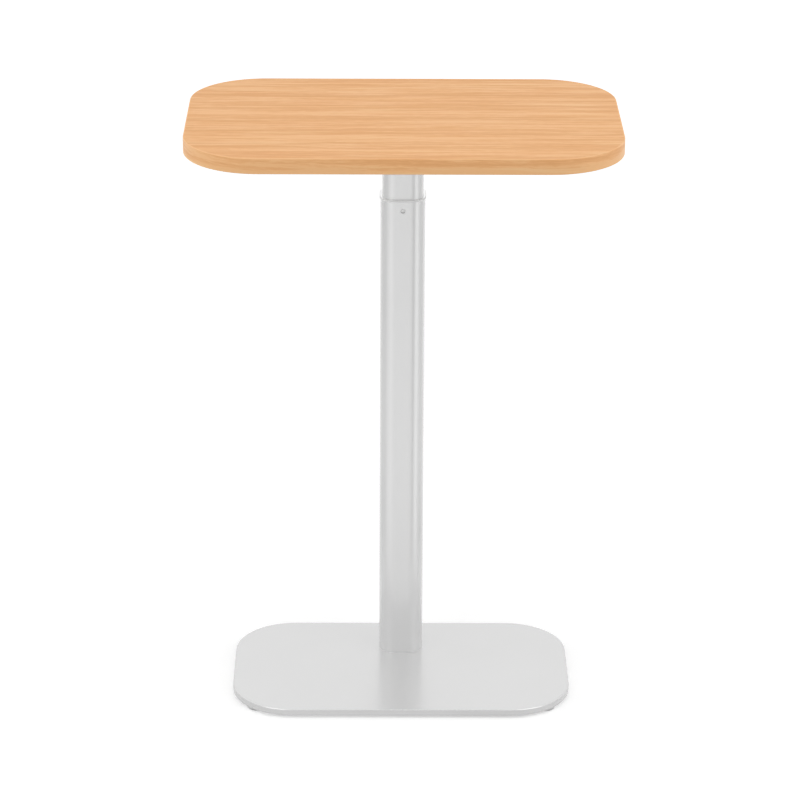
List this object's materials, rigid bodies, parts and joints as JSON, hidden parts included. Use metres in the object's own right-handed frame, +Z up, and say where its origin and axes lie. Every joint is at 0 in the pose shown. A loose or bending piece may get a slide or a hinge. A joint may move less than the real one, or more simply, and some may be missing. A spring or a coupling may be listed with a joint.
{
  "type": "telescoping pedestal table",
  "caption": "Small pedestal table: rounded wood-faced top on a telescoping rounded-square column set to the back of a flat rounded foot, gas-spring lift with a release lever.",
  "frame": {"origin": "on the floor, below the middle of the table top", "axes": "+Z up; +X to the user's right, along the top's width; +Y away from the user, towards the column's side of the foot"},
  "size_m": [0.6, 0.38, 0.86],
  "materials": {
    "powder_coat": "fine-textured powder coat, pale silver grey",
    "glide_nylon": "moulded nylon",
    "bare_steel": "machined",
    "zinc_steel": "bright zinc plated",
    "collar_plastic": "moulded acetal, grey",
    "slider_plastic": "moulded acetal, black",
    "spring_paint": "black enamel",
    "rod_chrome": "ground and chromed",
    "seal_rubber": "moulded",
    "board": "particleboard",
    "wood_laminate": "light oak look laminate, grain along the width",
    "backer": "balancing laminate",
    "wood_band": "light oak look edge band",
    "lever_zinc": "zinc plated",
    "grip_plastic": "moulded, lightly grained"
  },
  "bodies": {
    "base": {"base_plate": "powder_coat", "glide_front_left": "glide_nylon", "glide_front_right": "glide_nylon", "glide_back_left": "glide_nylon", "glide_back_right": "glide_nylon", "foot_plate": "bare_steel", "foot_bolts": "zinc_steel", "outer_tube": "powder_coat", "guide_collar": "collar_plastic", "gas_cylinder": "spring_paint", "cylinder_base_plug": "bare_steel", "cylinder_guide": "bare_steel", "gas_spring_bolt": "zinc_steel"},
    "lift": {"inner_tube": "powder_coat", "lower_slider": "slider_plastic", "piston_rod": "rod_chrome", "piston": "bare_steel", "piston_seal": "seal_rubber", "rod_mount_plate": "bare_steel", "rod_nuts": "zinc_steel", "top_plate": "powder_coat", "top_plate_screws": "zinc_steel", "tabletop_core": "board", "top_laminate": "wood_laminate", "backing_sheet": "backer", "edge_band": "wood_band", "lever_bracket": "powder_coat", "pivot_pin": "zinc_steel", "pivot_clip": "zinc_steel"},
    "lever": {"release_lever": "lever_zinc", "lever_grip": "grip_plastic"},
    "valve_pin": {"release_pin": "bare_steel"}
  },
  "joints": [
    {"name": "lift_slide", "type": "slide", "parent": "base", "child": "lift", "axis": [0, 0, 1], "range_m": [-0.075, 0.265]},
    {"name": "lever_pull", "type": "hinge", "parent": "lift", "child": "lever", "pos_m": [0.042, 0.072, 0.817], "axis": [0, -1, 0], "range_deg": [0, 4.1], "stiffness_Nm_per_rad": 28, "springref_deg": -4.1},
    {"name": "pin_press", "type": "slide", "parent": "lift", "child": "valve_pin", "axis": [0, 0, -1], "range_m": [0, 0.0031]}
  ],
  "couplings": [
    {"joint": "pin_press", "follows": "lever_pull", "m_per_rad": 0.042}
  ]
}
